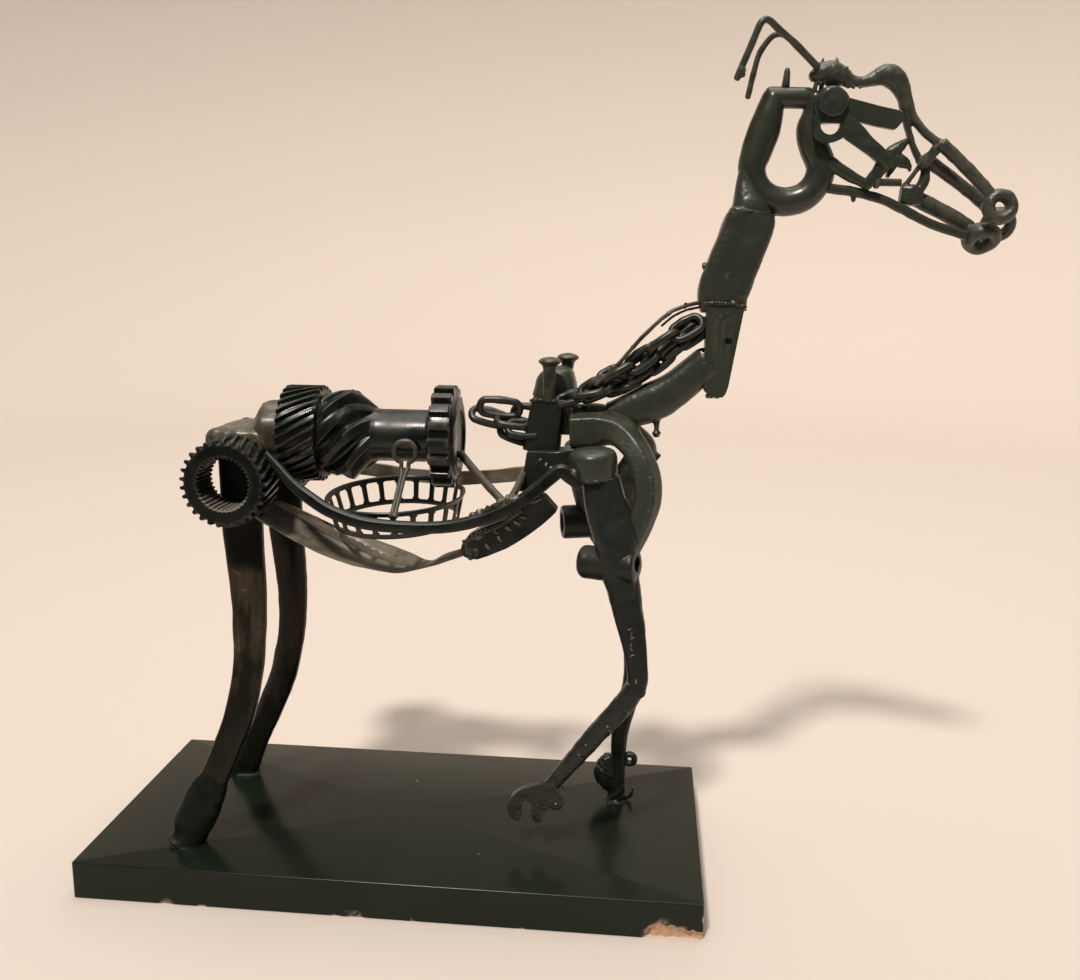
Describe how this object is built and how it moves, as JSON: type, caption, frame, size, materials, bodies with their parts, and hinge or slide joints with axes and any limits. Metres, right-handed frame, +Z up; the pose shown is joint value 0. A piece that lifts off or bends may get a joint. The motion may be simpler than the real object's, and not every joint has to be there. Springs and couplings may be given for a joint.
{
  "type": "welded scrap-metal horse sculpture",
  "caption": "Standing horse with a lifted foreleg and long neck, welded from gears, levers, rods, chain and a bow shackle, on a painted rectangular board.",
  "frame": {"origin": "centre of the underside of the board that the horse stands on", "axes": "+X is the way the horse looks, +Y is the horse's left side, away from the picture's camera, +Z is up"},
  "size_m": [0.5739, 0.184, 0.5399],
  "materials": {
    "enamel": "near-black green gloss enamel brushed over gears, castings and chain, thin and brown at the edges, with weld beads showing through",
    "board_paint": "board painted dark green in satin gloss, light where its edges are worn, with bare pinkish wood where the lower front corner is broken",
    "leg_steel": "dark brown-black bars under thin varnish, with rust patches and light hammer marks",
    "strip_steel": "matt grey-beige thin strip, creased and lightly stained",
    "rusty_rod": "brown-tinted dark rod and wire, glossy on top and rusty along the edges"
  },
  "bodies": {
    "root": {"plinth": "board_paint", "hip_gear_near": "enamel", "hip_gear_far": "enamel", "rump_plate": "enamel", "hind_leg_near": "leg_steel", "hind_leg_far": "leg_steel", "hind_hoof_near": "enamel", "hind_hoof_far": "enamel", "cluster_gear": "enamel", "eye_pin": "rusty_rod", "bearing_cage": "enamel", "belly_bar_near": "enamel", "belly_band_far": "strip_steel", "belly_sheet": "strip_steel", "strut_rear": "rusty_rod", "strut_front": "rusty_rod", "toothed_segment": "enamel", "withers_socket": "enamel", "withers_dome": "enamel", "withers_bolt_near": "rusty_rod", "withers_bolt_far": "rusty_rod", "withers_post": "enamel", "withers_rib": "enamel", "chest_yoke": "enamel", "foreleg_near": "enamel", "shoulder_cap_near": "enamel", "foreleg_far": "enamel", "shoulder_cap_far": "enamel", "spanner_hoof": "leg_steel", "fore_hoof_far": "enamel", "neck_tube": "enamel", "neck_plate": "enamel", "neck_bar": "enamel", "neck_wire": "rusty_rod", "chain_link_1": "enamel", "chain_link_2": "enamel", "chain_link_3": "enamel", "chain_link_4": "enamel", "chain_link_5": "enamel", "chain_link_6": "enamel", "chain_link_7": "enamel", "chain_link_8": "enamel", "shackle_bow": "enamel", "shackle_pin": "enamel", "cheek_lever": "enamel", "pivot_bolt": "enamel", "jaw_plate": "enamel", "brow_lever": "enamel", "snout_rod_near": "rusty_rod", "snout_rod_far": "rusty_rod", "chin_rod": "rusty_rod", "lower_jaw_bar": "enamel", "cheek_rod": "rusty_rod", "bit_link": "enamel", "bit_clip": "enamel", "bit_screw": "rusty_rod", "ear_near": "rusty_rod", "ear_far": "rusty_rod", "poll_stud": "rusty_rod"}
  },
  "joints": []
}
